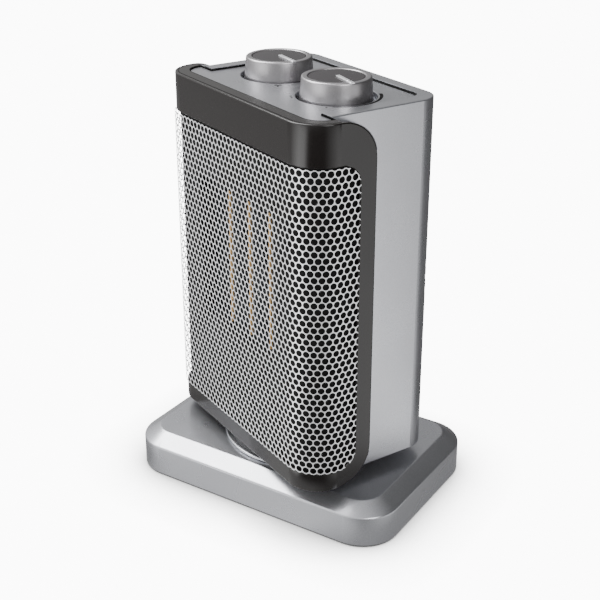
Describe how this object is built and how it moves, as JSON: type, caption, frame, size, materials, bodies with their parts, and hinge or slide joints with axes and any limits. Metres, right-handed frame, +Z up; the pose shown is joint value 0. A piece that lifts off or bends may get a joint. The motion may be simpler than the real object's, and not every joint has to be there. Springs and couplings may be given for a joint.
{
  "type": "ceramic space heater",
  "caption": "Upright ceramic fan heater with a wrapped perforated front and knobs on top, swinging on a low rectangular base.",
  "frame": {"origin": "on the floor, on the axis that the body swings about, which is the middle of the base", "axes": "+Z up, -Y towards the front of the base, +X to the right of someone who stands behind the base and looks over it to the front"},
  "size_m": [0.192, 0.1465, 0.2764],
  "materials": {
    "silver_paint": "satin metallic paint",
    "dark_plastic": "satin gloss",
    "grille_metal": "satin silver, perforated",
    "knob_silver": "satin metallic paint",
    "inlay_gloss": "gloss",
    "pointer_metal": "satin plated",
    "black_plastic": "moulded",
    "white_plastic": "moulded",
    "steel": "plain",
    "aluminium": "bright sheet",
    "ceramic": "fired, matt",
    "rubber": "matt"
  },
  "bodies": {
    "base": {"base_cover": "silver_paint", "base_plate": "black_plastic", "foot_1": "rubber", "foot_2": "rubber", "foot_3": "rubber", "foot_4": "rubber", "base_screw_1": "steel", "base_screw_2": "steel", "base_screw_3": "steel", "base_screw_4": "steel", "cord_gland": "black_plastic", "tip_switch": "black_plastic", "turntable_disc": "silver_paint", "sector_gear": "white_plastic", "spindle": "steel", "spindle_washer": "white_plastic", "spindle_clip": "steel"},
    "plunger": {"tip_plunger": "white_plastic"},
    "heater_body": {"rear_housing": "silver_paint", "front_bezel": "dark_plastic", "front_grille": "grille_metal", "control_panel": "silver_paint", "housing_screw_1": "steel", "housing_screw_2": "steel", "housing_screw_3": "steel", "housing_screw_4": "steel", "element_frame": "black_plastic", "ceramic_bar_1": "ceramic", "ceramic_bar_2": "ceramic", "ceramic_bar_3": "ceramic", "heating_fin_1": "aluminium", "heating_fin_2": "aluminium", "heating_fin_3": "aluminium", "heating_fin_4": "aluminium", "element_terminals": "ceramic", "thermal_cutout": "steel", "fan_duct": "black_plastic", "motor_bracket": "black_plastic", "fan_motor": "steel", "swing_ring": "black_plastic", "swing_motor": "steel", "switch_bracket": "steel", "mode_switch": "black_plastic", "thermostat": "steel", "terminal_block": "white_plastic"},
    "fan": {"fan_shaft": "steel", "fan_impeller": "black_plastic"},
    "pinion": {"drive_pinion": "white_plastic"},
    "mode_control": {"mode_knob": "knob_silver", "mode_inlay": "inlay_gloss", "mode_pointer": "pointer_metal", "mode_stem": "steel"},
    "thermostat_control": {"thermostat_knob": "knob_silver", "thermostat_inlay": "inlay_gloss", "thermostat_pointer": "pointer_metal", "thermostat_stem": "steel"}
  },
  "joints": [
    {"name": "swing", "type": "hinge", "parent": "base", "child": "heater_body", "pos_m": [0, 0, 0.0293], "axis": [0, 0, 1], "range_deg": [-11, 59]},
    {"name": "fan_spin", "type": "hinge", "parent": "heater_body", "child": "fan", "pos_m": [0, 0, 0.1506], "axis": [0.4067, 0.9135, 0], "continuous": true},
    {"name": "pinion_spin", "type": "hinge", "parent": "heater_body", "child": "pinion", "pos_m": [0.01464, 0.03289, 0.032], "axis": [0, 0, 1], "range_deg": [-55, 295]},
    {"name": "mode_turn", "type": "hinge", "parent": "heater_body", "child": "mode_control", "pos_m": [-0.02652, 0.01662, 0.2636], "axis": [0, 0, 1], "range_deg": [-24, 96]},
    {"name": "thermostat_turn", "type": "hinge", "parent": "heater_body", "child": "thermostat_control", "pos_m": [0.0301, -0.00858, 0.2636], "axis": [0, 0, 1], "range_deg": [-36, 224]},
    {"name": "plunger_slide", "type": "slide", "parent": "base", "child": "plunger", "axis": [0, 0, 1], "range_m": [-0.003, 0], "stiffness_N_per_m": 120, "springref_m": -0.005}
  ],
  "couplings": [
    {"joint": "pinion_spin", "follows": "swing", "ratio": 5}
  ]
}
